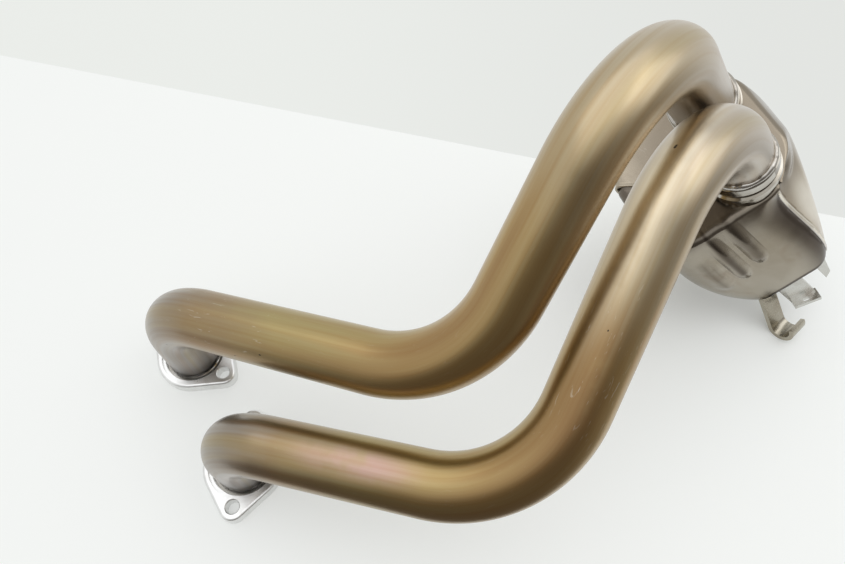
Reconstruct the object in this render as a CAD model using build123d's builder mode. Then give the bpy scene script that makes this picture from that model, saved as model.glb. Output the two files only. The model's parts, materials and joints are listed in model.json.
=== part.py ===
"""Two-into-one motorcycle exhaust header, lying on its port faces and its foot strap.

Frame: millimetres, +Z up. The port faces lie in Z = 0, the origin is the centre of the
far port, and the near port lies along -Y, a small step towards +X.
"""

import os

from build123d import *

os.makedirs("parts", exist_ok=True)

# Driving dimensions of the pipes
port_pitch = 95.1
port_step = 2.4
pipe_od = 38.1
pipe_wall = 1.5
fit = 0.1
far_rise = 75.0
near_rise = 61.0
far_bends = (45.0, 81.0, 61.0)
near_bends = (37.5, 78.5, 60.0)
far_knee = Vector(135.5, -157.9, 118.2)
far_crown = Vector(258.5, -106.3, 262.7)
far_end = Vector(360.0, -76.7, 139.0)
near_knee = Vector(139.1, -225.1, 86.9)
near_crown = Vector(300.5, -120.3, 217.3)
near_end = Vector(346.6, -126.2, 137.6)

# Port collars and loose two-stud flanges
collar_od = 46.0
collar_wall = 6.0
collar_thickness = 4.0
bead_share = 0.57
flange_thickness = 8.0
flange_ring = 4.0
flange_play = 0.5
flange_slip = 0.3
seat_gap = 0.3
stud_hole = 9.0
stud_web = 1.1
ear_wall = 4.5
flange_edge = 2.0
mouth_web = 0.2
mouth_depth = 1.6
hole_chamfer = 0.6
far_clocking = -62.8
near_clocking = -124.8

# Collector, a pressed clamshell with a seam lip
sheet = 1.6
collector_dive = 45.0
collector_heading = -33.0
collector_roll = 16.5
collector_length = 115.0
rim_drop = 26.0
rim_side = 9.4
inlet_gap = 7.0
belly_gap = 49.0
hip_station = 34.0
corner_radius = 24.0
rim_corner = 12.0
seam_lip = 6.0
lip_start = 78.0
seam_angle = 31.0
seam_shift = (20.0, 18.0)
rib_height = 3.4
rib_width = 9.0
rib_places = {(-75, -17.5): 67.0, (-58, -32): 45.0, (-80, -3): 65.0}

# Stepped inlet necks
neck_socket = 13.0
neck_reach = 14.0
neck_wall = 1.5
neck_ring = 1.6
neck_ring_width = 5.0
neck_groove = 4.0
neck_bead = 1.0
weld_leg = 2.4
weld_crown = 1.6

# Outlet end, hanger tabs and foot strap
end_plate = 2.5
outlet_od = 41.0
outlet_shift = 5.0
outlet_reach = 10.0
tab_thickness = 3.0
tab_width = 17.0
tab_length = 34.0
tab_skew = 6.0
tab_side = 25.0
tab_place = -5.0
tab_lip = 9.0
tab_slot = 5.0
lug_width = 10.0
lug_length = 34.0
lug_side = 18.0
lug_place = 19.0
lug_skew = 5.0
strap_width = 15.0
strap_thickness = 3.0
strap_bend = 8.0
strap_heading = -77.0
strap_slope = 49.0
strap_curl = 185.0
strap_place = (-18.0, 18.0)

# Pressed sections of the collector: how far each edge lies from the section's own centre
inlet_edges = dict(left=71.0, crease=12.0, right=27.0, shoulder=25.0, near=47.0, back=47.0)
belly_edges = dict(left=50.0, crease=20.0, right=53.0, shoulder=-8.0, near=33.0, back=54.0)
hip_edges = dict(left=49.0, crease=24.0, right=44.0, shoulder=0.0, near=33.0, back=47.0)
rim_edges = dict(left=30.0, crease=20.0, right=31.0, shoulder=14.0, near=31.0, back=31.0)

pipe_radius = pipe_od / 2
bore_radius = pipe_radius - pipe_wall
neck_radius = pipe_radius + fit + neck_wall
belly_station = collector_length - belly_gap
collar_radius = collar_od / 2
pipe_seat = pipe_radius + fit
collar_bead = bead_share * (collar_radius - pipe_seat)
flange_bore = pipe_seat + collar_bead + flange_slip
flange_seat = collar_radius + flange_play
stud_offset = flange_seat + stud_web + stud_hole / 2
mouth_radius = stud_offset - stud_hole / 2 - hole_chamfer - mouth_web
far_port = Vector(0, 0, 0)
near_port = Vector(port_step, -port_pitch, 0)
far_way = (far_end - far_crown).normalized()
near_way = (near_end - near_crown).normalized()


# The collector frame has its origin at the centre of the rim, Z out along the axis and X up the width
def turned(direction):
    leaned = direction.rotate(Axis.X, -collector_roll).rotate(Axis.Y, collector_dive)
    return leaned.rotate(Axis.Z, collector_heading)


axis_way = turned(Vector(1, 0, 0))
width_way = turned(Vector(0, 0, 1))
side_way = axis_way.cross(width_way)
ends_middle = (far_end + near_end) * 0.5
rim_centre = ends_middle + axis_way * collector_length - width_way * rim_drop + side_way * rim_side
rim_plane = Plane(origin=rim_centre, x_dir=width_way, z_dir=axis_way)
inlet_way = (far_way + near_way).normalized()
inlet_plane = Plane(origin=ends_middle + inlet_way * inlet_gap, x_dir=width_way, z_dir=inlet_way)
seam_upright = rim_plane.location * Location((*seam_shift, 0), (90, 0, 0))
seam_plane = Plane(seam_upright * Location((0, 0, 0), (0, seam_angle, 0)))


def end_frame(end, way):
    return Plane(origin=end, z_dir=way)


# Each pipe stands on its port collar and is bent three times on its way to the collector
def pipe(port, rise, knee, crown, end, bends):
    start = port + Vector(0, 0, collar_thickness)
    with BuildPart() as tube:
        with BuildLine() as route:
            FilletPolyline(start, port + Vector(0, 0, rise), knee, crown, end, radius=bends)
        with BuildSketch(Plane(origin=start, z_dir=(0, 0, 1))):
            Circle(pipe_radius)
            Circle(bore_radius, mode=Mode.SUBTRACT)
        sweep(path=route.line)
    return tube


header_pipe_far = pipe(far_port, far_rise, far_knee, far_crown, far_end, far_bends)
header_pipe_near = pipe(near_port, near_rise, near_knee, near_crown, near_end, near_bends)


# A turned collar ends each pipe, welded round its foot, and holds the loose flange on
def port_collar(port):
    collar_bore = collar_radius - collar_wall
    with BuildPart() as collar:
        with BuildSketch(Plane(origin=port, x_dir=(1, 0, 0), z_dir=(0, -1, 0))):
            with BuildLine():
                Polyline(
                    (collar_bore, 0),
                    (collar_radius, 0),
                    (collar_radius, collar_thickness),
                    (pipe_seat + collar_bead, collar_thickness),
                    (pipe_seat, collar_thickness + collar_bead),
                    (pipe_seat, collar_thickness),
                    (collar_bore, collar_thickness),
                    close=True,
                )
            make_face()
        revolve(axis=Axis(port, (0, 0, 1)))
    return collar


def stud_flange(port, clocking):
    seat = Plane(origin=port).rotated((0, 0, clocking))
    studs = [(stud_offset, 0), (-stud_offset, 0)]
    with BuildPart() as flange:
        with BuildSketch(seat):
            Circle(flange_seat + flange_ring)
            with Locations(*studs):
                Circle(stud_hole / 2 + ear_wall)
            make_hull()
        extrude(amount=flange_thickness)
        fillet(flange.faces().sort_by(Axis.Z)[-1].edges(), radius=flange_edge)
        with BuildSketch(seat):
            with Locations(*studs):
                Circle(stud_hole / 2)
            Circle(flange_bore)
        extrude(amount=flange_thickness, mode=Mode.SUBTRACT)
        with BuildSketch(seat):
            Circle(flange_seat)
        extrude(amount=collar_thickness + seat_gap, mode=Mode.SUBTRACT)
        with BuildSketch(seat.offset(flange_thickness)):
            Circle(mouth_radius)
        extrude(amount=-mouth_depth, mode=Mode.SUBTRACT)
        mouths = flange.faces().sort_by(Axis.Z)[-1].inner_wires().sort_by(SortBy.LENGTH)
        chamfer(mouths[:-1].edges(), length=hole_chamfer)
    return flange


port_collar_far = port_collar(far_port)
port_collar_near = port_collar(near_port)
stud_flange_far = stud_flange(far_port, far_clocking)
stud_flange_near = stud_flange(near_port, near_clocking)


# The necks are turned sleeves with two rolled rings, and each takes the end of its pipe
def neck_blank(end, way):
    base = end_frame(end, way)
    ring = neck_radius + neck_ring
    with BuildPart() as blank:
        with BuildSketch(Plane(origin=end, x_dir=base.x_dir, z_dir=-base.y_dir)):
            with BuildLine():
                Polyline(
                    (0, -neck_socket),
                    (neck_radius, -neck_socket),
                    (neck_radius + neck_bead, -neck_socket + neck_bead),
                    (neck_radius + neck_bead, -neck_groove - neck_bead),
                    (neck_radius, -neck_groove),
                    (neck_radius, 0),
                    (ring, neck_ring / 2),
                    (ring, neck_ring_width - neck_ring / 2),
                    (neck_radius, neck_ring_width),
                    (neck_radius, neck_reach),
                    (0, neck_reach),
                    close=True,
                )
            make_face()
        revolve(axis=Axis(end, way))
    return blank


def inlet_neck(end, way):
    with BuildPart() as neck:
        add(neck_blank(end, way).part)
        with BuildSketch(end_frame(end - way * neck_socket, way)):
            Circle(bore_radius)
        extrude(amount=neck_socket + neck_reach, mode=Mode.SUBTRACT)
        with BuildSketch(end_frame(end - way * neck_socket, way)):
            Circle(pipe_seat)
        extrude(amount=neck_socket + fit, mode=Mode.SUBTRACT)
    return neck


def inlet_weld(end, way):
    base = end_frame(end, way)
    upright = Plane(origin=end, x_dir=base.x_dir, z_dir=-base.y_dir)
    inner = pipe_radius + fit / 2
    with BuildPart() as weld:
        with BuildSketch(upright):
            with BuildLine():
                foot = Line((inner, -neck_socket), (inner + weld_leg, -neck_socket))
                side = Line((inner, -neck_socket), (inner, -neck_socket - weld_leg))
                RadiusArc(side @ 1, foot @ 1, -weld_crown * weld_leg)
            make_face()
        revolve(axis=Axis(end, way))
    return weld


inlet_neck_far = inlet_neck(far_end, far_way)
inlet_neck_near = inlet_neck(near_end, near_way)
inlet_weld_far = inlet_weld(far_end, far_way)
inlet_weld_near = inlet_weld(near_end, near_way)
far_blank = neck_blank(far_end, far_way)
near_blank = neck_blank(near_end, near_way)


# One loft gives the outside, the inside and the seam lip, each grown by its own amount
def pressed_section(plane, edges, radius, grow):
    with BuildSketch(plane) as section:
        with BuildLine():
            Polyline(
                (-edges["left"], edges["near"]),
                (edges["crease"], edges["near"]),
                (edges["right"], edges["shoulder"]),
                (edges["right"], -edges["back"]),
                (-edges["left"], -edges["back"]),
                close=True,
            )
        make_face()
        if grow:
            offset(amount=grow, kind=Kind.INTERSECTION)
        fillet(section.vertices(), radius=radius + grow)
    return section


def chamber(grow, ruled=False):
    inlet = inlet_plane.offset(max(0, -grow))
    with BuildPart() as body:
        add(pressed_section(inlet, inlet_edges, corner_radius, grow).sketch)
        add(pressed_section(rim_plane.offset(-belly_station), belly_edges, corner_radius, grow).sketch)
        add(pressed_section(rim_plane.offset(-hip_station), hip_edges, corner_radius, grow).sketch)
        add(pressed_section(rim_plane, rim_edges, rim_corner, grow).sketch)
        loft(ruled=ruled)
    return body


chamber_outside = chamber(0)
chamber_inside = chamber(-sheet)
chamber_lip = chamber(seam_lip, ruled=True)

with BuildPart() as seam_strip:
    with BuildSketch(seam_plane.offset(-sheet)):
        Rectangle(4 * collector_length, 4 * collector_length)
    extrude(amount=2 * sheet)
    add(chamber_lip.part, mode=Mode.INTERSECT)
    with BuildSketch(rim_plane.offset(-lip_start)):
        Rectangle(collector_length, 2 * collector_length, align=(Align.MIN, Align.CENTER))
    extrude(amount=-collector_length, mode=Mode.SUBTRACT)

side_plane = Plane(origin=rim_plane.origin, x_dir=axis_way, z_dir=side_way)
with BuildPart() as ribs:
    add(chamber_outside.part.moved(Location(side_way * rib_height)))
    with BuildSketch(side_plane):
        for place, length in rib_places.items():
            with Locations(place):
                SlotOverall(length, rib_width)
    extrude(amount=collector_length, mode=Mode.INTERSECT)

with BuildPart() as collector:
    add(chamber_outside.part)
    add(ribs.part)
    add(seam_strip.part)
    add(chamber_inside.part, mode=Mode.SUBTRACT)
    add(far_blank.part, mode=Mode.SUBTRACT)
    add(near_blank.part, mode=Mode.SUBTRACT)

with BuildPart() as collector_upper_shell:
    add(collector.part)
    split(bisect_by=seam_plane, keep=Keep.TOP)

with BuildPart() as collector_lower_shell:
    add(collector.part)
    split(bisect_by=seam_plane, keep=Keep.BOTTOM)

# The outlet plate closes the rim and carries the outlet ring
with BuildPart() as outlet_plate:
    add(pressed_section(rim_plane.offset(-end_plate), rim_edges, rim_corner, -sheet - fit).sketch)
    extrude(amount=end_plate, dir=axis_way)
    with BuildSketch(rim_plane.offset(-end_plate)):
        with Locations((0, -outlet_shift)):
            Circle(outlet_od / 2 + fit)
    extrude(amount=end_plate, mode=Mode.SUBTRACT)

with BuildPart() as outlet_ring:
    with BuildSketch(rim_plane.offset(-2 * end_plate)):
        with Locations((0, -outlet_shift)):
            Circle(outlet_od / 2)
            Circle(outlet_od / 2 - pipe_wall, mode=Mode.SUBTRACT)
    extrude(amount=2 * end_plate + outlet_reach)

# The hanger tab is a bent plate with a slotted lip, and the lug beside it is plain
with BuildPart() as hanger_tab:
    with BuildSketch(side_plane.offset(tab_side)):
        with Locations((0, tab_place)):
            Polygon(
                (0, -tab_width / 2),
                (tab_length - tab_skew, -tab_width / 2),
                (tab_length, tab_width / 2),
                (0, tab_width / 2),
                align=None,
            )
    extrude(amount=tab_thickness)
    tip = hanger_tab.faces().sort_by(Axis(side_plane.origin, axis_way))[-1]
    lip_plane = Plane(origin=tip.center(), x_dir=side_way, z_dir=tip.normal_at())
    with BuildSketch(lip_plane):
        with Locations((tab_lip / 2 - tab_thickness / 2, 0)):
            Rectangle(tab_lip, tip.length)
        with Locations((tab_lip / 2, 0)):
            SlotOverall(tab_slot, tab_slot / 2, rotation=90, mode=Mode.SUBTRACT)
    extrude(amount=-tab_thickness)

with BuildPart() as hanger_lug:
    with BuildSketch(side_plane.offset(lug_side)):
        with Locations((0, lug_place)):
            Polygon(
                (0, -lug_width / 2),
                (lug_length, -lug_width / 2),
                (lug_length - lug_skew, 0),
                (0, lug_width / 2),
                align=None,
            )
    extrude(amount=tab_thickness)

# The strap leaves the outlet plate at a slope, touches the table and curls up
strap_root = rim_plane.from_local_coords((*strap_place, 0))
strap_ahead = Vector(1, 0, 0).rotate(Axis.Z, strap_heading)
strap_across = strap_ahead.cross(Vector(0, 0, 1))
strap_plane = Plane(origin=(strap_root.X, strap_root.Y, 0), x_dir=strap_ahead, z_dir=strap_across)
strap_down = Vector(1, 0, 0).rotate(Axis.Z, -strap_slope)
bend_height = strap_thickness / 2 + strap_bend * (1 - strap_down.X)
leg_length = (strap_root.Z - bend_height) / -strap_down.Y
with BuildPart() as foot_strap:
    with BuildSketch(strap_plane):
        with BuildLine():
            leg = Line(
                Vector(0, strap_root.Z) - strap_down * strap_width * 2,
                Vector(0, strap_root.Z) + strap_down * leg_length,
            )
            JernArc(start=leg @ 1, tangent=leg % 1, radius=strap_bend, arc_size=strap_curl)
        trace(line_width=strap_thickness)
    extrude(amount=strap_width / 2, both=True)
    split(bisect_by=rim_plane, keep=Keep.TOP)

named = {
    "header_pipe_far": header_pipe_far,
    "header_pipe_near": header_pipe_near,
    "port_collar_far": port_collar_far,
    "port_collar_near": port_collar_near,
    "stud_flange_far": stud_flange_far,
    "stud_flange_near": stud_flange_near,
    "inlet_neck_far": inlet_neck_far,
    "inlet_neck_near": inlet_neck_near,
    "inlet_weld_far": inlet_weld_far,
    "inlet_weld_near": inlet_weld_near,
    "collector_upper_shell": collector_upper_shell,
    "collector_lower_shell": collector_lower_shell,
    "outlet_plate": outlet_plate,
    "outlet_ring": outlet_ring,
    "hanger_tab": hanger_tab,
    "hanger_lug": hanger_lug,
    "foot_strap": foot_strap,
}
for name, piece in named.items():
    piece.part.label = name
    export_step(piece.part, f"parts/{name}.step")
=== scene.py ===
import json
import math

import bmesh
import bpy
from mathutils import Matrix, Vector, noise


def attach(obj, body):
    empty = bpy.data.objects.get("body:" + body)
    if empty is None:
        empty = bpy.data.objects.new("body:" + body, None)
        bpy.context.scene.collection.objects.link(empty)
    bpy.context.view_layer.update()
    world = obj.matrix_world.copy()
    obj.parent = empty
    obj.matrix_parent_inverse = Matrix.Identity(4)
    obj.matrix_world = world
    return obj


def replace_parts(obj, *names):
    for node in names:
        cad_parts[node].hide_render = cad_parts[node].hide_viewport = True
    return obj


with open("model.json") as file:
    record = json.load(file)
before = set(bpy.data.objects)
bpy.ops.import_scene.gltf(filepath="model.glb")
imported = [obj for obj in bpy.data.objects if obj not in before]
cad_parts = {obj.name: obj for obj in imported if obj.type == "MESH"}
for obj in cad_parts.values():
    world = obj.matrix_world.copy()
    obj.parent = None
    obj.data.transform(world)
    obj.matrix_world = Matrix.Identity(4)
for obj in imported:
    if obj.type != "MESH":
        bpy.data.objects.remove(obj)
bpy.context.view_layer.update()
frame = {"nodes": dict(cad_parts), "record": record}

mm = 0.001
evenly = (1.0, 1.0, 1.0)  # no stretch on any axis


# Shader maths: a Wire is one output socket, and sums on wires add Math nodes
class Wire:
    def __init__(self, finish, socket):
        self.finish = finish
        self.socket = socket

    def maths(self, operation, first, second):
        return self.finish.node("ShaderNodeMath", {"operation": operation}, {0: first, 1: second})

    def __add__(self, other):
        return self.maths("ADD", self, other)

    def __radd__(self, other):
        return self.maths("ADD", other, self)

    def __sub__(self, other):
        return self.maths("SUBTRACT", self, other)

    def __rsub__(self, other):
        return self.maths("SUBTRACT", other, self)

    def __mul__(self, other):
        return self.maths("MULTIPLY", self, other)

    def __rmul__(self, other):
        return self.maths("MULTIPLY", other, self)

    def __truediv__(self, other):
        return self.maths("DIVIDE", self, other)

    def __rtruediv__(self, other):
        return self.maths("DIVIDE", other, self)

    def out(self, name):  # another output of the same node
        return Wire(self.finish, self.socket.node.outputs[name])


class Finish:
    def __init__(self, tree):
        self.tree = tree
        tree.nodes.clear()

    # any node: its type, then its settings, then the values or links of its sockets
    def node(self, kind, settings=None, sockets=None, out=0):
        made = self.tree.nodes.new(kind)
        for key, value in (settings or {}).items():
            if key == "stops":
                self.setStops(made.color_ramp, value)
            else:
                setattr(made, key, value)
        for key, value in (sockets or {}).items():
            if isinstance(value, Wire):
                self.tree.links.new(value.socket, made.inputs[key])
            else:
                made.inputs[key].default_value = value
        return Wire(self, made.outputs[out]) if made.outputs else None

    def setStops(self, ramp, stops):
        while len(ramp.elements) < len(stops):
            ramp.elements.new(1.0)
        for element, (place, colour) in zip(ramp.elements, stops):
            element.position = place
            element.color = (*colour, 1.0)

    def ramp(self, value, stops):
        return self.node("ShaderNodeValToRGB", {"stops": stops}, {0: value})

    def mix(self, factor, first, second, blend="MIX"):
        sockets = {0: factor, 6: self.solid(first), 7: self.solid(second)}
        return self.node("ShaderNodeMix", {"data_type": "RGBA", "blend_type": blend}, sockets, out=2)

    def solid(self, colour):
        return colour if isinstance(colour, Wire) else (*colour, 1.0)

    def step(self, value, low, high):  # smooth step from 0 at low to 1 at high
        sockets = {0: value, 1: low, 2: high}
        return self.node("ShaderNodeMapRange", {"interpolation_type": "SMOOTHSTEP"}, sockets)

    def noise(self, vector, scale, detail=3.0, rough=0.55, warp=0.0):
        sockets = {"Vector": vector, "Scale": scale, "Detail": detail, "Roughness": rough, "Distortion": warp}
        return self.node("ShaderNodeTexNoise", {"normalize": True}, sockets)

    def stretched(self, vector, amounts):  # vector times a constant on each axis
        return self.node("ShaderNodeVectorMath", {"operation": "MULTIPLY"}, {0: vector, 1: amounts})

    def distance(self, vector, place, amounts):  # how far a vector lies from a place, stretched on each axis
        apart = self.node("ShaderNodeVectorMath", {"operation": "SUBTRACT"}, {0: vector, 1: place})
        sockets = {0: self.stretched(apart, amounts)}
        return self.node("ShaderNodeVectorMath", {"operation": "LENGTH"}, sockets, out="Value")

    def dot(self, vector, way):
        sockets = {0: vector, 1: way}
        return self.node("ShaderNodeVectorMath", {"operation": "DOT_PRODUCT"}, sockets, out="Value")

    def larger(self, first, second):
        return self.node("ShaderNodeMath", {"operation": "MAXIMUM"}, {0: first, 1: second})

    def bump(self, height, strength, distance, under=None):
        sockets = {"Strength": strength, "Distance": distance, "Height": height}
        if under:
            sockets["Normal"] = under
        return self.node("ShaderNodeBump", None, sockets)

    def surface(self, sockets):
        shader = self.node("ShaderNodeBsdfPrincipled", None, sockets)
        self.node("ShaderNodeOutputMaterial", None, {"Surface": shader})


def newFinish(name):
    material = bpy.data.materials.new(name)
    material.use_nodes = True
    return material, Finish(material.node_tree)


# Heat-tinted tube: colours run from the port to the collector over the pipe's own skin coordinates
tubeTint = {
    "stops": [
        (0.00, (0.33, 0.315, 0.30)),
        (0.12, (0.31, 0.28, 0.24)),
        (0.18, (0.335, 0.25, 0.145)),
        (0.28, (0.415, 0.34, 0.16)),
        (0.42, (0.415, 0.295, 0.125)),
        (0.60, (0.435, 0.32, 0.15)),
        (0.74, (0.49, 0.42, 0.30)),
        (0.86, (0.51, 0.46, 0.39)),
        (1.00, (0.49, 0.46, 0.41)),
    ],
    "rose": (0.50, 0.34, 0.31),
    "brown": (0.30, 0.175, 0.07),
    "olive": (0.42, 0.345, 0.15),
    "pale": (0.70, 0.64, 0.53),
    "fade": (0.80, 0.69, 0.50),
    # fade colours the painted highlight patches
    "speck": (0.03, 0.022, 0.018),
    "roughness": 0.33,
    "coat": {"Coat Weight": 0.40, "Coat Roughness": 0.22, "Coat IOR": 1.6},
    "cloudScale": 22.0,
    "streaks": (260.0, 260.0, 7.0),
    "bands": (55.0, 55.0, 3.0),
    "bandAmount": 0.55,
    "oliveSpan": (0.52, 0.74),
    "brownSpan": (0.50, 0.28),
    "brownEnd": (0.85, 0.55),
    "drift": 0.10,
    "streakGain": 1.1,
    "streakBase": 0.25,
    "patchAcross": 72.0,
    "patchEdge": (1.0, 0.2),
    "patchCloud": (0.25, 0.55),
    "scuffs": (420.0, 420.0, 90.0),
    "scuffSpan": (0.65, 0.75),
    "scuffReach": 0.06,
    "scuffWorn": 0.5,
    "scuffElsewhere": 0.05,
    "speckScale": 85.0,
    "speckSize": (0.10, 0.05),
    "speckPick": (0.88, 0.92),
    "speckAmount": 0.9,
    "chipStretch": (1.0, 1.0, 0.6),
    "chipRim": (900.0, 1.2),
    "chipEdge": (1.1, 0.8),
    "rough": {"streak": 0.14, "cloud": 0.10, "scuff": 0.2, "speck": 0.3},
    "streakBump": (0.08, 0.0006),
    "waveBump": (0.10, 0.004),
    # foot darkening: soot close to the collar, then painted shade further up the foot
    "footSootAndShade": (((0.007, 0.003), 0.45), ((0.030, 0.008), 0.42)),
    "waveScale": 16.0,
}


def tubeFinish(name, length, look):
    t = tubeTint
    material, f = newFinish(name)
    skin = f.node("ShaderNodeAttribute", {"attribute_name": "skin"}, None, out="Vector")
    along = f.node("ShaderNodeSeparateXYZ", None, {0: skin}, out="Z")
    cloud = f.noise(skin, t["cloudScale"], 4.0, 0.6)
    streak = f.noise(f.stretched(skin, t["streaks"]), 1.0, 3.0, 0.6, 0.3)
    broad = f.noise(f.stretched(skin, t["bands"]), 1.0, 2.0, 0.5, 0.4)
    share = along / length + (cloud - 0.5) * t["drift"] + (broad - 0.5) * t["drift"]
    colour = f.ramp(share, t["stops"])
    colour = f.mix(f.step(broad, *t["oliveSpan"]) * t["bandAmount"], colour, t["olive"])
    brownBand = f.step(broad, *t["brownSpan"]) * t["bandAmount"] * f.step(share, *t["brownEnd"])
    colour = f.mix(brownBand, colour, t["brown"])
    for place, (tint, amount, reach) in look["patches"].items():  # tints at their own places, and painted highlights and a painted reflection
        near = f.distance(skin, place, (t["patchAcross"], t["patchAcross"], 1.0 / reach))
        patch = f.step(near, *t["patchEdge"]) * f.step(cloud, *t["patchCloud"])
        colour = f.mix(patch * amount, colour, t[tint])
    streaked = (streak - 0.5) * t["streakGain"] + t["streakBase"]
    colour = f.mix(streaked, colour, t["brown"], "SOFT_LIGHT")
    worn = look["scuffs"]
    scuffed = f.step(along, worn - t["scuffReach"], worn) * f.step(along, worn + t["scuffReach"], worn)
    scuffs = f.noise(f.stretched(skin, t["scuffs"]), 1.0, 2.0, 0.5, 1.2)
    scuff = f.step(scuffs, *t["scuffSpan"]) * (scuffed * t["scuffWorn"] + t["scuffElsewhere"])
    colour = f.mix(scuff, colour, t["pale"])
    dots = f.node("ShaderNodeTexVoronoi", {"feature": "F1"}, {"Vector": skin, "Scale": t["speckScale"]})
    dotPick = f.node("ShaderNodeSeparateColor", None, {0: dots.out("Color")}, out="Red")
    speck = f.step(dots, *t["speckSize"]) * f.step(dotPick, *t["speckPick"])
    rimScale, rimAmount = t["chipRim"]
    rim = f.noise(skin, rimScale, 2.0) - 0.5
    for place, radius in look["marks"].items():  # chips at their own places
        near = f.distance(skin, place, t["chipStretch"]) / (radius * mm) + rim * rimAmount
        speck = f.larger(speck, f.step(near, *t["chipEdge"]))
    closeSoot, footShade = (f.step(along, *span) * amount for span, amount in t["footSootAndShade"])
    foot = closeSoot + footShade  # soot at the collar, painted shade further up the foot
    colour = f.mix(f.larger(speck * t["speckAmount"], foot), colour, t["speck"])
    rough = t["rough"]
    roughness = t["roughness"] + (streak - 0.5) * rough["streak"] + (cloud - 0.5) * rough["cloud"]
    roughness = roughness + scuff * rough["scuff"] + speck * rough["speck"]
    waves = f.noise(skin, t["waveScale"], 2.0, 0.4)
    normal = f.bump(streak, *t["streakBump"], f.bump(waves, *t["waveBump"]))
    looks = {"Base Color": colour, "Metallic": 1.0, "Roughness": roughness, "Normal": normal}
    f.surface({**looks, **t["coat"]})
    return material


sootTint = {
    "dark": (0.018, 0.015, 0.013),
    "light": (0.075, 0.06, 0.05),
    "cloudScale": 120.0,
    "cloudSpan": (0.4, 0.7),
    "metallic": 0.3,
    "roughness": 0.62,
    "roughCloud": 0.3,
}


def sootFinish():
    material, f = newFinish("soot")
    place = f.node("ShaderNodeTexCoord", None, None, out="Object")
    cloud = f.noise(place, sootTint["cloudScale"], 5.0, 0.65)
    colour = f.mix(f.step(cloud, *sootTint["cloudSpan"]), sootTint["dark"], sootTint["light"])
    roughness = sootTint["roughness"] + cloud * sootTint["roughCloud"]
    f.surface({"Base Color": colour, "Metallic": sootTint["metallic"], "Roughness": roughness})
    return material


# Plain stainless with brushing, tint and stains, for every turned, pressed or bent steel piece, with painted
# shade and painted highlights laid on from the stain attribute
def steelFinish(name, look):
    material, f = newFinish(name)
    place = f.node("ShaderNodeTexCoord", None, None, out="Object")
    cloud = f.noise(place, look["cloudScale"], 4.0, 0.6, 0.4)
    grain = f.noise(f.stretched(place, look["grain"]), 1.0, 3.0, 0.6)
    stain = f.noise(place, look["stainScale"], 5.0, 0.7, 1.0)
    colour = f.mix(f.step(cloud, *look["cloudSpan"]), look["base"], look["second"])
    colour = f.mix(f.step(stain, *look["stainSpan"]) * look["stainAmount"], colour, look["stain"])
    fromHeat = f.distance(place, look["hotPlace"], evenly) + (cloud - 0.5) * look["hotCloud"]
    heat = f.step(fromHeat, *look["hotReach"])
    colour = f.mix(heat * look["hotAmount"], colour, look["hot"])
    # stain attribute: +1 is painted shade, -1 is a painted highlight
    paintedLight = f.node("ShaderNodeAttribute", {"attribute_name": "stain"}, None, out="Fac")
    colour = f.mix(f.step(paintedLight, 0.0, 1.0) * look["paintedShadeAmount"], colour, look["paintedShade"])
    colour = f.mix(f.step(paintedLight, 0.0, -1.0) * look["paintedHighlightAmount"], colour, look["paintedHighlight"])
    scratch = f.noise(f.stretched(place, look["scratch"]), 1.0, 2.0, 0.5, 2.0)
    scratched = f.step(scratch, *look["scratchSpan"]) * look["scratchAmount"]
    colour = f.mix(scratched, colour, look["bright"])
    rough = look["rough"]
    roughness = look["roughness"] + (grain - 0.5) * rough["grain"] + (cloud - 0.5) * rough["cloud"]
    roughness = roughness + scratched * rough["scratch"]
    waves = f.noise(place, look["waveScale"], 2.0, 0.5)
    normal = f.bump(grain, *look["grainBump"], f.bump(waves, look["waves"], look["waveDepth"]))
    f.surface({"Base Color": colour, "Metallic": 1.0, "Roughness": roughness, "Normal": normal})
    return material


flangeLook = {
    "base": (0.82, 0.82, 0.81),
    "second": (0.73, 0.73, 0.72),
    "stain": (0.52, 0.49, 0.44),
    "bright": (0.84, 0.84, 0.83),
    "stainAmount": 0.25,
    "stainSpan": (0.52, 0.72),
    "scratchAmount": 0.25,
    "scratchSpan": (0.68, 0.75),
    "roughness": 0.30,
    "rough": {"grain": 0.12, "cloud": 0.10, "scratch": 0.15},
    "grainBump": (0.03, 0.0005),
    "waves": 0.08,
    "waveDepth": 0.003,
    "cloudSpan": (0.35, 0.68),
    "cloudScale": 60.0,
    "stainScale": 110.0,
    "waveScale": 70.0,
    "grain": (900.0, 900.0, 900.0),
    "scratch": (300.0, 60.0, 300.0),
    "hot": (0.40, 0.34, 0.25),
    "hotPlace": (0.353, -0.101, 0.138),
    "hotReach": (0.085, 0.035),
    "hotCloud": 0.03,
    "hotAmount": 0.0,
    # painted shade and painted highlight colours, laid on by the stain attribute
    "paintedShade": (0.06, 0.044, 0.033),
    "paintedShadeAmount": 0.92,
    "paintedHighlight": (0.74, 0.70, 0.67),
    "paintedHighlightAmount": 0.85,
}
ringLook = dict(flangeLook, base=(0.47, 0.445, 0.40), second=(0.38, 0.345, 0.29), roughness=0.12, waves=0.10)
collarLook = dict(flangeLook, base=(0.78, 0.77, 0.75), second=(0.66, 0.64, 0.60), roughness=0.16)
shellLook = dict(
    flangeLook,
    base=(0.40, 0.365, 0.305),
    second=(0.31, 0.27, 0.21),
    stain=(0.22, 0.155, 0.10),
    bright=(0.58, 0.55, 0.50),
    stainAmount=0.35,
    scratchAmount=0.10,
    roughness=0.23,
    waves=0.22,
    cloudScale=18.0,
    stainScale=26.0,
    waveScale=24.0,
    grain=(700.0, 700.0, 700.0),
    scratch=(260.0, 70.0, 260.0),
    hot=(0.19, 0.16, 0.125),
    hotAmount=0.8,
)
domeLook = dict(
    shellLook,
    base=(0.62, 0.545, 0.43),
    second=(0.46, 0.385, 0.285),
    roughness=0.18,
    waves=0.45,
    # the dome's painted highlight colour
    paintedHighlight=(0.86, 0.81, 0.71),
)
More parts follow.
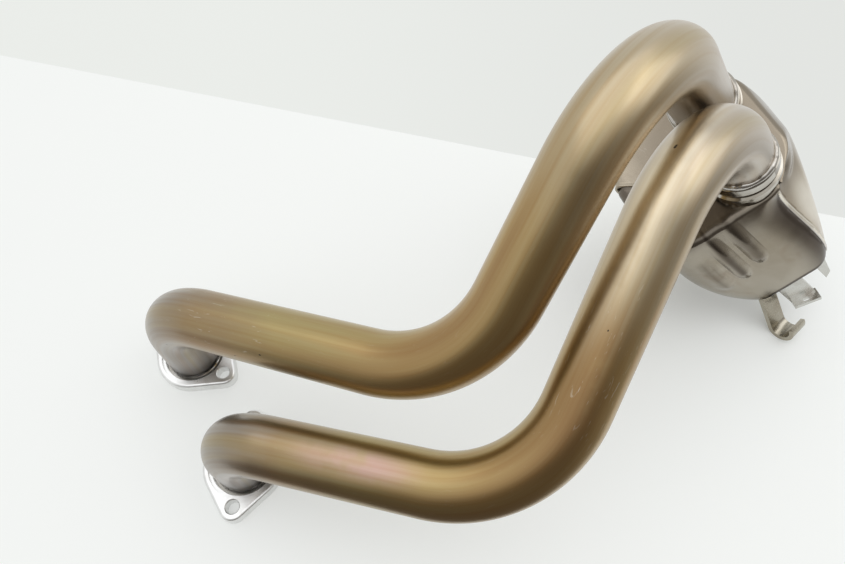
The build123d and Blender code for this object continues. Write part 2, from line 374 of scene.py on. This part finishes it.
bracketLook = dict(
    shellLook,
    base=(0.66, 0.66, 0.63),
    second=(0.54, 0.52, 0.48),
    roughness=0.26,
    hotAmount=0.0,
)
strapLook = dict(bracketLook, base=(0.46, 0.43, 0.36), second=(0.37, 0.33, 0.26))
weldLook = dict(bracketLook, base=(0.52, 0.50, 0.47), second=(0.38, 0.345, 0.30), roughness=0.24, waves=0.30)

soot = sootFinish()
flangeSteel = steelFinish("satinFlange", flangeLook)
ringSteel = steelFinish("turnedRing", ringLook)
collarSteel = steelFinish("collarSteel", collarLook)
shellSteel = steelFinish("pressedSheet", shellLook)
domeSteel = steelFinish("domedSheet", domeLook)
bracketSteel = steelFinish("bracketSteel", bracketLook)
weldSteel = steelFinish("weldBead", weldLook)
strapSteel = steelFinish("strapSteel", strapLook)
slotFinish = {
    "satin_flange": flangeSteel,
    "turned_ring": ringSteel,
    "pressed_sheet": shellSteel,
    "bracket_steel": bracketSteel,
    "weld_bead": weldSteel,
}
for part in frame["record"]["subparts"]:
    finish = slotFinish.get(part["material_slot"])
    if finish:
        frame["nodes"][part["node"]].data.materials[0] = finish
for name in ("port_collar_far", "port_collar_near"):
    frame["nodes"][name].data.materials[0] = collarSteel
frame["nodes"]["foot_strap"].data.materials[0] = strapSteel
print("finishes made:", len(bpy.data.materials))


# A route is straight runs joined by tangent arcs
def routePoints(corners, radii, runStep, turnStep):
    points = [corners[0]]
    for before, corner, after, radius in zip(corners, corners[1:], corners[2:], radii):
        come = (corner - before).normalized()
        leave = (after - corner).normalized()
        turn = come.angle(leave)
        reach = radius * math.tan(turn / 2)
        start = corner - come * reach
        centre = start + (leave - come * come.dot(leave)).normalized() * radius
        addRun(points, start, runStep)
        axis = come.cross(leave).normalized()
        steps = max(2, round(turn / turnStep))
        for i in range(1, steps + 1):
            points.append(centre + Matrix.Rotation(turn * i / steps, 3, axis) @ (start - centre))
    addRun(points, corners[-1], runStep)
    return points


def addRun(points, end, step):
    start = points[-1]
    count = max(1, round((end - start).length / step))
    points.extend(start.lerp(end, i / count) for i in range(1, count + 1))


def waysAlong(points):
    ways = []
    for i in range(len(points)):
        ways.append((points[min(i + 1, len(points) - 1)] - points[max(i - 1, 0)]).normalized())
    return ways


def newPiece(name, mesh, body, materials):
    piece = bpy.data.objects.new(name, mesh)
    bpy.context.scene.collection.objects.link(piece)
    for material in materials:
        mesh.materials.append(material)
    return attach(piece, body)


# The two header pipes: bent tube with an outer skin, a sooty bore and plain ends
tube = {
    "radius": 19.05 * mm,
    "wall": 1.5 * mm,
    "sides": 112,
    "runStep": 5 * mm,
    "turnStep": math.radians(1.6),
}
pipes = {
    "far": {
        "corners": [
            (0, 0, 4),
            (0, 0, 75),
            (135.5, -157.9, 118.2),
            (258.5, -106.3, 262.7),
            (360.0, -76.7, 139.0),
        ],
        "radii": (45.0, 81.0, 61.0),
        # fade here is a painted highlight on the rise
        "patches": {(0.0100, -0.0160, 0.400): ("fade", 0.8, 0.14)},
        "scuffs": 0.13,
        "marks": {(-0.0187, -0.0037, 0.153): 0.5, (-0.0164, -0.0097, 0.133): 0.35},
    },
    "near": {
        "corners": [
            (2.4, -95.1, 4),
            (2.4, -95.1, 61.0),
            (139.1, -225.1, 86.9),
            (300.5, -120.3, 217.3),
            (346.6, -126.2, 137.6),
        ],
        "radii": (37.5, 78.5, 60.0),
        "patches": {
            (-0.0150, 0.0118, 0.140): ("rose", 0.85, 0.05),
            # fade here is a painted highlight on the crown's left
            (-0.0150, 0.0118, 0.385): ("fade", 0.75, 0.10),
            # brown here is a painted reflection of the far pipe, darkening the middle of the rise
            (-0.0187, 0.0020, 0.285): ("brown", 0.75, 0.07),
        },
        "scuffs": 0.31,
        "marks": {(-0.0138, 0.0131, 0.409): 0.7, (-0.0184, 0.0048, 0.322): 0.35},
    },
}


def sweptPipe(name, node, look):
    corners = [Vector(c) * mm for c in look["corners"]]
    centres = routePoints(corners, [r * mm for r in look["radii"]], tube["runStep"], tube["turnStep"])
    ways = waysAlong(centres)
    side = Vector((1, 0, 0))
    skin = []
    made = bmesh.new()
    rings = {"outer": [], "inner": []}
    along = 0.0
    for i, (centre, way) in enumerate(zip(centres, ways)):
        if i:
            along += (centre - centres[i - 1]).length
        side = (side - way * side.dot(way)).normalized()
        other = way.cross(side)
        for wall, radius in (("outer", tube["radius"]), ("inner", tube["radius"] - tube["wall"])):
            ring = []
            for j in range(tube["sides"]):
                angle = 2 * math.pi * j / tube["sides"]
                out = side * math.cos(angle) + other * math.sin(angle)
                ring.append(made.verts.new(centre + out * radius))
                skin.append((radius * math.cos(angle), radius * math.sin(angle), along))
            rings[wall].append(ring)
    for wall, flip in (("outer", False), ("inner", True)):
        for low, high in zip(rings[wall], rings[wall][1:]):
            bridge(made, low, high, flip, 1 if flip else 0)
    bridge(made, rings["inner"][0], rings["outer"][0], False, 0)
    bridge(made, rings["outer"][-1], rings["inner"][-1], False, 0)
    mesh = bpy.data.meshes.new(name)
    made.to_mesh(mesh)
    made.free()
    mesh.shade_smooth()
    store = mesh.attributes.new("skin", "FLOAT_VECTOR", "POINT")
    store.data.foreach_set("vector", [x for place in skin for x in place])
    finish = tubeFinish(name + "Tint", along, look)
    piece = newPiece(name, mesh, "header", [finish, soot])
    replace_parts(piece, node)
    print(name, "is", round(along / mm), "mm long with", len(mesh.polygons), "faces")


def bridge(made, low, high, flip, material):
    count = len(low)
    for j in range(count):
        k = (j + 1) % count
        corners = [low[j], low[k], high[k], high[j]]
        face = made.faces.new(corners[::-1] if flip else corners)
        face.material_index = material


sweptPipe("farPipe", "header_pipe_far", pipes["far"])
sweptPipe("nearPipe", "header_pipe_near", pipes["near"])

# The collector's frame: out along its axis, up its width, and to the side that faces the camera
clam = {
    "dive": 45.0,
    "heading": -33.0,
    "roll": 16.5,
    "length": 115.0 * mm,
    "rimDrop": 26.0 * mm,
    "rimSide": 9.4 * mm,
    "inletGap": 7.0 * mm,
    "sheet": 1.6 * mm,
    "least": 0.001 * mm,
    "neckHole": 19.4 * mm,
    "holeDepth": 2.5 * mm,
    "dome": 5.0 * mm,
    "edgeSteps": (64, 22, 34, 56, 52),
    "arcSteps": 13,
    "rows": 100,
    "domeRows": 12,
    "capRows": 10,
}
sectionSizes = {  # at the inlet, at two places short of the rim, and at the rim
    "place": (None, -66.0, -34.0, 0.0),
    "corner": (24.0, 24.0, 24.0, 12.0),
    "left": (71.0, 50.0, 49.0, 30.0),
    "crease": (12.0, 20.0, 24.0, 20.0),
    "right": (27.0, 53.0, 44.0, 31.0),
    "shoulder": (25.0, -8.0, 0.0, 14.0),
    "near": (47.0, 33.0, 33.0, 31.0),
    "back": (47.0, 54.0, 47.0, 31.0),
}
sections = [dict(zip(sectionSizes, sizes)) for sizes in zip(*sectionSizes.values())]
ribLook = {
    "height": 3.0 * mm,
    "half": 6.0 * mm,
    "fades": [(-0.098, -0.070), (-0.088, -0.050), (-0.098, -0.070)],
    "runs": [(-75, -17.5, 68), (-58, -32, 39), (-80, -3, 66)],
    # painted shade in stripes along each rib: how dark, and over how many half widths
    "dark": (0.80, 0.50, 0.60),
    "darkHalf": (0.55, 0.80, 0.85),
    "endStretch": 0.5,
    "sideFrom": 15.0 * mm,
}
dimple = {"place": (0.3810, -0.1330, 0.1290), "radius": 15.0 * mm, "depth": 3.0 * mm}
lipLook = {
    "at": (20.0 * mm, 18.0 * mm),
    "angle": 31.0,
    "rise": 2.9 * mm,
    "width": 7.5,
    "flare": 2.5,
    "starts": {"right": -78.0 * mm, "left": -92.0 * mm},
    "fade": 9.0 * mm,
    # where the painted shade under the lip and the painted highlight on the dome lie
    "groove": (22.0 * mm, 4.0 * mm),
    "gleam": (-36.0 * mm, 38.0 * mm, 10.0 * mm),
    "gleamReach": 24.0 * mm,
    "flareAlong": (-60.0 * mm, 0.0),
    "profile": [(0.07, 2.35), (0.20, 2.1), (0.90, 2.0), (0.98, 1.6), (1.0, 0.9), (0.98, 0.05), (-0.2, 0.05)],
}
# where painted shade lies round the inlet and under the lip, the stretch of the dome's painted highlight, and
# the dark line along the rim
paintedLightLook = {
    "inletAlong": (-84.0 * mm, -100.0 * mm),
    "inletWidth": (30.0 * mm, 10.0 * mm),
    "inletDark": {"dome": 0.3, "shell": 0.65},
    "gleamStretch": 0.55,
    "grooveAlong": (-98.0 * mm, -70.0 * mm),
    "grooveWidth": (-5.0 * mm, 5.0 * mm),
    "rimLine": (-4.0 * mm, -1.5 * mm),
}

turn = Matrix.Rotation(math.radians(clam["heading"]), 3, "Z")
turn = turn @ Matrix.Rotation(math.radians(clam["dive"]), 3, "Y")
turn = turn @ Matrix.Rotation(math.radians(-clam["roll"]), 3, "X")
axisWay = turn @ Vector((1, 0, 0))
widthWay = turn @ Vector((0, 0, 1))
sideWay = axisWay.cross(widthWay)
ends = {name: Vector(look["corners"][-1]) * mm for name, look in pipes.items()}
endWays = {name: (ends[name] - Vector(look["corners"][-2]) * mm).normalized() for name, look in pipes.items()}
inletMiddle = (ends["far"] + ends["near"]) / 2
inletWay = (endWays["far"] + endWays["near"]).normalized()
rimCentre = inletMiddle + axisWay * clam["length"] - widthWay * clam["rimDrop"] + sideWay * clam["rimSide"]


def fromRim(along, width, side):
    return rimCentre + axisWay * along + widthWay * width + sideWay * side


def smooth(value, low, high):
    share = min(1.0, max(0.0, (value - low) / (high - low)))
    return share * share * (3 - 2 * share)


# One pressed section: straight edges joined by rounded corners, always with the same count of points
def sectionRing(look):
    corners = [
        Vector((-look["left"], look["near"])),
        Vector((look["crease"], look["near"])),
        Vector((look["right"], look["shoulder"])),
        Vector((look["right"], -look["back"])),
        Vector((-look["left"], -look["back"])),
    ]
    arcs = []
    for i, corner in enumerate(corners):
        come = (corner - corners[i - 1]).normalized()
        leave = (corners[(i + 1) % 5] - corner).normalized()
        bend = math.acos(come.dot(leave))
        start = corner - come * look["corner"] * math.tan(bend / 2)
        centre = start + Vector((come.y, -come.x)) * look["corner"]
        steps = clam["arcSteps"]
        spokes = [Matrix.Rotation(-bend * k / steps, 2) @ (start - centre) for k in range(steps + 1)]
        arcs.append([centre + spoke for spoke in spokes])
    flat = []
    for i, (arc, steps) in enumerate(zip(arcs, clam["edgeSteps"])):
        following = arcs[(i + 1) % 5][0]
        flat.extend(arc)
        flat.extend(arc[-1].lerp(following, k / steps) for k in range(1, steps))
    if look["place"] is None:
        up = (widthWay - inletWay * widthWay.dot(inletWay)).normalized()
        origin = inletMiddle + inletWay * clam["inletGap"]
        return [origin + up * p.x * mm + inletWay.cross(up) * p.y * mm for p in flat]
    return [fromRim(look["place"] * mm, p.x * mm, p.y * mm) for p in flat]


def middleOf(ring):
    return sum(ring, Vector()) / len(ring)


def clamRings():
    keys = [sectionRing(look) for look in sections]
    knots = [0.0]
    for low, high in zip(keys, keys[1:]):
        knots.append(knots[-1] + (middleOf(high) - middleOf(low)).length)
    length = knots[-1]

    def ringAt(place):  # a cubic through the four sections
        shares = []
        for i, knot in enumerate(knots):
            shares.append(math.prod((place - k) / (knot - k) for j, k in enumerate(knots) if j != i))
        return [sum((p * s for p, s in zip(points, shares)), Vector()) for points in zip(*keys)]

    rings = []
    for i in range(clam["domeRows"]):
        angle = math.pi / 2 * i / clam["domeRows"]
        ring = ringAt(clam["dome"] * (1 - math.cos(angle)))
        rings.append(insetRing(ring, clam["dome"] * (1 - math.sin(angle))))
    for i in range(clam["rows"] + 1):
        rings.append(ringAt(clam["dome"] + (length - clam["dome"]) * i / clam["rows"]))
    return rings


def insetRing(ring, amount):
    inset = []
    for i, point in enumerate(ring):
        along = ring[(i + 1) % len(ring)] - ring[i - 1]
        inset.append(point + along.cross(inletWay).normalized() * amount)
    return inset


def ribShares(point):  # how far a point lies from each rib's middle line, in half widths
    local = point - rimCentre
    along, width = local.dot(axisWay), local.dot(widthWay)
    shares = []
    for place, level, length in ribLook["runs"]:
        half = length * mm / 2 - ribLook["half"]
        over = max(0.0, abs(along - place * mm) - half)
        shares.append(math.hypot(over * ribLook["endStretch"], width - level * mm) / ribLook["half"])
    return shares if local.dot(sideWay) > ribLook["sideFrom"] else [1.0]


def ribRise(point):
    along = (point - rimCentre).dot(axisWay)
    pairs = zip(ribShares(point), ribLook["fades"])
    return ribLook["height"] * max(roundTop(share) * smooth(along, *fade) for share, fade in pairs)


def roundTop(share):  # 1 in the middle, falling smoothly to 0 at the edge
    return (1 - min(1.0, share) ** 2) ** 2


# +1 is painted shade, along the ribs, under the lip and round the inlet, and darker along the rim; -1 is a
# painted highlight, on the dome
def paintedLightAt(point, seam, seamWay):
    local = point - rimCentre
    along, width = local.dot(axisWay), local.dot(widthWay)
    below = (seam - point).dot(seamWay)
    look = paintedLightLook
    inlet = smooth(along, *look["inletAlong"]) * smooth(width, *look["inletWidth"])
    if below < 0:
        apart = Vector((along, width, local.dot(sideWay))) - Vector(lipLook["gleam"])
        apart.x *= look["gleamStretch"]
        return inlet * look["inletDark"]["dome"] - smooth(apart.length, lipLook["gleamReach"], 0.0)
    dark = [a * smooth(s, h, 0.0) for s, a, h in zip(ribShares(point), ribLook["dark"], ribLook["darkHalf"])]
    groove = smooth(below, *lipLook["groove"])
    groove *= smooth(along, *look["grooveAlong"]) * smooth(width, *look["grooveWidth"])
    return max(*dark, groove, inlet * look["inletDark"]["shell"], smooth(along, *look["rimLine"]))


def clamSkin():
    rings = [[p + sideWay * ribRise(p) for p in ring] for ring in clamRings()]
    middle = middleOf(rings[0])
    made = bmesh.new()
    capShares = [(i + 1) / (clam["capRows"] + 1) for i in range(clam["capRows"])]
    caps = [[middle.lerp(p, share) for p in rings[0]] for share in capShares]
    rows = [[made.verts.new(p) for p in ring] for ring in caps + rings]
    for low, high in zip(rows, rows[1:]):
        bridge(made, low, high, False, 0)
    made.faces.new(rows[0])
    made.normal_update()
    for vert in made.verts:
        apart = (vert.co - Vector(dimple["place"])).length / dimple["radius"]
        vert.co -= vert.normal * dimple["depth"] * roundTop(apart)
    made.normal_update()
    return made


# Each shell keeps one side of the seam and turns out into its half of the lip
def clamShell(name, node, upper, finish):
    lean = math.radians(lipLook["angle"])
    seamWay = widthWay * math.sin(lean) - sideWay * math.cos(lean)
    way = seamWay if upper else -seamWay
    seam = fromRim(0, *lipLook["at"])
    made = clamSkin()
    everything = made.verts[:] + made.edges[:] + made.faces[:]
    start = seam + way * lipLook["rise"]
    bmesh.ops.bisect_plane(made, geom=everything, plane_co=start, plane_no=way, clear_inner=True)
    made.normal_update()
    stain = made.verts.layers.float.new("stain")
    for vert in made.verts:
        vert[stain] = paintedLightAt(vert.co, seam, seamWay)
    cut = [e for e in made.edges if all(abs((v.co - start).dot(way)) < clam["least"] for v in e.verts)]
    chains = {}
    for edge in cut:
        for vert in edge.verts:
            if vert not in chains:
                chains[vert] = lipChain(made, vert, way)
                for lipVert in chains[vert][1:]:
                    # the lip takes on the painted highlight as it widens
                    lipVert[stain] = vert[stain] - (vert[stain] + 1.0) * lipShare(vert.co)
    for edge in cut:
        first, second = (chains[v] for v in edge.verts)
        for k in range(len(first) - 1):
            made.faces.new([first[k], second[k], second[k + 1], first[k + 1]])
    holes = [f for f in made.faces if any(inNeck(f.calc_center_median(), n) for n in ends)]
    bmesh.ops.delete(made, geom=holes, context="FACES")
    # where the lip has no width its faces have no area
    bmesh.ops.dissolve_degenerate(made, dist=clam["least"], edges=made.edges[:])
    bmesh.ops.recalc_face_normals(made, faces=made.faces[:])
    mesh = bpy.data.meshes.new(name)
    made.to_mesh(mesh)
    made.free()
    mesh.shade_smooth()
    piece = newPiece(name, mesh, "header", [finish])
    wall = piece.modifiers.new("wall", "SOLIDIFY")
    wall.thickness = clam["sheet"]
    wall.offset = -1.0
    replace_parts(piece, node)
    print(name, "has", len(mesh.polygons), "faces")


def lipShare(point):  # the lip fades in from the inlet on each side
    local = point - rimCentre
    start = lipLook["starts"]["right" if local.dot(widthWay) > 0 else "left"]
    return smooth(local.dot(axisWay), start - lipLook["fade"], start)


def lipChain(made, vert, way):
    out = (vert.normal - way * vert.normal.dot(way)).normalized()
    local = vert.co - rimCentre
    onRight = local.dot(widthWay) > 0
    flare = lipLook["flare"] * smooth(local.dot(axisWay), *lipLook["flareAlong"]) if onRight else 0.0
    width = (lipLook["width"] + flare) * lipShare(vert.co)
    steps = [out * share * width + way * height for share, height in lipLook["profile"]]
    return [vert] + [made.verts.new(vert.co + step * mm - way * lipLook["rise"]) for step in steps]


def inNeck(point, name):  # on the inlet face, inside the pipe's round
    local = point - ends[name]
    across = (local - endWays[name] * local.dot(endWays[name])).length
    depth = (point - inletMiddle).dot(inletWay) - clam["inletGap"]
    return across < clam["neckHole"] and depth < clam["holeDepth"]


clamShell("upperShell", "collector_upper_shell", True, domeSteel)
clamShell("lowerShell", "collector_lower_shell", False, shellSteel)

# Weld beads: lumpy rings where the pipes enter their necks, and rippled runs at the brackets' roots
beadLook = {
    "radius": 2.1 * mm,
    "back": 13.6 * mm,
    "stand": 0.5 * mm,
    "drift": 0.7 * mm,
    "size": 0.95,
    "swell": 0.32,
    "tall": 0.85,
    "wide": 1.15,
    "wanderScale": 2.4,
    "wanderSeed": 50,
    "lumps": 0.35,
    "lumpScale": 6.5,
    "lumpSeed": 70,
    "around": 400,
    "sides": 14,
}
runLook = {
    "step": 0.35 * mm,
    "ripple": 1.5 * mm,
    "size": 0.85,
    "rippleShare": 0.2,
    "wanderShare": 0.25,
    "wanderScale": 300,
    "endShare": 0.02,
    "fullness": 6,
    "sides": 12,
}


def beadRing(name, node, end, way):
    made = bmesh.new()
    side = way.orthogonal().normalized()
    other = way.cross(side)
    rows = []
    for i in range(beadLook["around"]):
        angle = 2 * math.pi * i / beadLook["around"]
        out = side * math.cos(angle) + other * math.sin(angle)
        wander = noise.noise(out * beadLook["wanderScale"] + end * beadLook["wanderSeed"])
        wander += beadLook["lumps"] * noise.noise(out * beadLook["lumpScale"] + end * beadLook["lumpSeed"])
        radius = beadLook["radius"] * (beadLook["size"] + beadLook["swell"] * wander)
        centre = end - way * (beadLook["back"] + beadLook["drift"] * wander)
        centre += out * (tube["radius"] + beadLook["stand"])
        row = []
        for j in range(beadLook["sides"]):
            lean = 2 * math.pi * j / beadLook["sides"]
            spoke = out * math.cos(lean) * beadLook["tall"] + way * math.sin(lean) * beadLook["wide"]
            row.append(made.verts.new(centre + spoke * radius))
        rows.append(row)
    for low, high in zip(rows, rows[1:] + rows[:1]):
        bridge(made, low, high, True, 0)
    bmesh.ops.recalc_face_normals(made, faces=made.faces[:])
    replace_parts(weldPiece(name, made), node)


def weldPiece(name, made):
    mesh = bpy.data.meshes.new(name)
    made.to_mesh(mesh)
    made.free()
    mesh.shade_smooth()
    return newPiece(name, mesh, "header", [weldSteel])


def weldRun(name, start, end, radius):
    made = bmesh.new()
    way = (end - start).normalized()
    side = way.orthogonal().normalized()
    other = way.cross(side)
    length = (end - start).length
    count = max(8, round(length / runLook["step"]))
    spokes = [2 * math.pi * j / runLook["sides"] for j in range(runLook["sides"])]
    rows = []
    for i in range(count + 1):
        share = i / count
        centre = start.lerp(end, share)
        taper = math.sqrt(max(runLook["endShare"], 1 - (2 * share - 1) ** runLook["fullness"]))
        ripple = abs(math.sin(share * length / runLook["ripple"] * math.pi / 2)) * runLook["rippleShare"]
        wander = noise.noise(centre * runLook["wanderScale"]) * runLook["wanderShare"]
        size = radius * taper * (runLook["size"] + ripple + wander)
        ways = [side * math.cos(a) + other * math.sin(a) for a in spokes]
        rows.append([made.verts.new(centre + out * size) for out in ways])
    for low, high in zip(rows, rows[1:]):
        bridge(made, low, high, False, 0)
    made.faces.new(rows[0])
    made.faces.new(rows[-1])
    bmesh.ops.recalc_face_normals(made, faces=made.faces[:])
    weldPiece(name, made)


beadRing("farBead", "inlet_weld_far", ends["far"], endWays["far"])
beadRing("nearBead", "inlet_weld_near", ends["near"], endWays["near"])
bracketWelds = {
    "tabWeld": ((0.3, -13.0, 28.2), (0.3, 3.0, 28.2), 1.5),
    "lugWeld": ((0.3, 14.5, 21.4), (0.3, 23.5, 21.4), 1.3),
    "strapWeldNear": ((0.4, -24.5, 22.0), (0.4, -12.0, 24.0), 1.9),
    "strapWeldBack": ((0.4, -24.0, 13.5), (0.4, -12.0, 12.0), 1.7),
}
for name, (start, end, radius) in bracketWelds.items():
    weldRun(name, fromRim(*(v * mm for v in start)), fromRim(*(v * mm for v in end)), radius * mm)
print("collector and welds made")


# Stage: a white table with one edge behind the part and one on the near side
stageLook = {
    "table": (0.86, 0.875, 0.86),
    "glow": (0.92, 0.935, 0.915),
    "glowShare": 0.48,
    "shade": (0.345, -0.140, 0.0),
    "shadeReach": (0.20, 0.04),
    "shadeShare": 0.30,
    "cloud": (0.7, 0.7, 0.69),
    "cloudScale": 6.0,
    "cloudShare": 0.06,
    "roughness": 0.55,
    "corners": [(-1.4, 0.58), (-2.6, 2.958), (2.4, -2.042), (1.0, -0.745)],
}


def tableFinish(name, colour):
    material, f = newFinish(name)
    place = f.node("ShaderNodeTexCoord", None, None, out="Object")
    cloud = f.noise(place, stageLook["cloudScale"], 3.0) * stageLook["cloudShare"]
    colour = f.mix(cloud, colour, stageLook["cloud"])
    looks = {"Base Color": colour, "Roughness": stageLook["roughness"]}
    paint = f.node("ShaderNodeBsdfPrincipled", None, looks)
    glow = f.node("ShaderNodeEmission", None, {"Color": (*stageLook["glow"], 1.0)})
    seen = f.node("ShaderNodeLightPath", None, None, out="Is Camera Ray")
    apart = f.distance(place, stageLook["shade"], evenly)
    shaded = f.step(apart, *stageLook["shadeReach"])  # deeper by the collector
    glowShare = stageLook["glowShare"] - stageLook["shadeShare"] * shaded
    share = (seen + seen.out("Is Glossy Ray")) * glowShare
    both = f.node("ShaderNodeMixShader", None, {0: share, 1: paint, 2: glow})
    f.node("ShaderNodeOutputMaterial", None, {"Surface": both})
    return material


def stageSheet(name, corners, height, colour):
    mesh = bpy.data.meshes.new(name)
    mesh.from_pydata([(x, y, height) for x, y in corners], [], [range(len(corners))])
    mesh.materials.append(tableFinish(name + "Paint", colour))
    sheet = bpy.data.objects.new(name, mesh)
    bpy.context.scene.collection.objects.link(sheet)


stageSheet("tableTop", stageLook["corners"], 0.0, stageLook["table"])


# Light: a pale room that darkens low down on the camera's side, and two large panels
lightLook = {
    "backdrop": ((0.83, 0.85, 0.82), (0.77, 0.785, 0.76)),
    "acrossWay": (0.8773, -0.4784, -0.0395),
    "pale": (0.86, 0.87, 0.86),
    "dark": (0.17, 0.155, 0.14),
    "dusk": (0.34, 0.32, 0.29),
    "darkWay": (-0.12, -0.99, 0.0),
    "ceiling": (0.92, 0.93, 0.94),
    "duskSpan": (-0.1, 0.55),
    "darkSpan": (0.0, 0.6),
    "darkLift": 0.45,
    "ceilingSpan": (0.45, 0.85),
    "acrossSpan": (-0.3, 0.5),
}
panels = {
    "ceilingPanel": {"place": (0.25, 0.15, 1.7), "aim": (0.2, -0.1, 0.0), "size": (2.4, 2.0), "power": 8.0},
    "windowPanel": {"place": (1.1, -0.55, 1.1), "aim": (0.25, -0.12, 0.1), "size": (1.0, 1.2), "power": 3.0},
}


def softWorld():
    look = lightLook
    world = bpy.data.worlds.new("softRoom")
    bpy.context.scene.world = world
    world.use_nodes = True
    f = Finish(world.node_tree)
    way = f.node("ShaderNodeTexCoord", None, None, out="Generated")
    height = f.node("ShaderNodeSeparateXYZ", None, {0: way}, out="Z")
    facing = f.dot(way, look["darkWay"]) - height * look["darkLift"]
    dim = f.mix(f.step(height.out("X"), *look["duskSpan"]), look["dark"], look["dusk"])
    room = f.mix(f.step(facing, *look["darkSpan"]), look["pale"], dim)
    room = f.mix(f.step(height, *look["ceilingSpan"]), room, look["ceiling"])
    across = f.dot(way, look["acrossWay"])
    backdrop = f.mix(f.step(across, *look["acrossSpan"]), *look["backdrop"])
    seen = f.node("ShaderNodeLightPath", None, None, out="Is Camera Ray")
    light = f.node("ShaderNodeBackground", None, {"Color": f.mix(seen, room, backdrop)})
    f.node("ShaderNodeOutputWorld", None, {"Surface": light})


def panelLight(name, look):
    lamp = bpy.data.lights.new(name, "AREA")
    lamp.shape = "RECTANGLE"
    lamp.size, lamp.size_y = look["size"]
    lamp.energy = look["power"]
    panel = bpy.data.objects.new(name, lamp)
    bpy.context.scene.collection.objects.link(panel)
    panel.location = look["place"]
    aim = Vector(look["aim"]) - Vector(look["place"])
    panel.rotation_euler = aim.to_track_quat("-Z", "Y").to_euler()


softWorld()
for name, look in panels.items():
    panelLight(name, look)

# Camera at the photograph's viewpoint
cameraLook = {
    "place": (0.06151, -0.27683, 0.45836),
    "right": (0.8773, -0.4784, -0.0395),
    "up": (0.4284, 0.7433, 0.5138),
    "lens": 28.97,
    "clipStart": 0.01,
}


def photoCamera():
    lens = bpy.data.cameras.new("photoCamera")
    lens.lens = cameraLook["lens"]
    lens.clip_start = cameraLook["clipStart"]
    camera = bpy.data.objects.new("photoCamera", lens)
    bpy.context.scene.collection.objects.link(camera)
    right = Vector(cameraLook["right"]).normalized()
    up = Vector(cameraLook["up"])
    up = (up - right * up.dot(right)).normalized()
    turn = Matrix((right, up, right.cross(up))).transposed()
    camera.matrix_world = Matrix.Translation(Vector(cameraLook["place"])) @ turn.to_4x4()
    bpy.context.scene.camera = camera


photoCamera()
bpy.context.scene.view_settings.view_transform = "Standard"
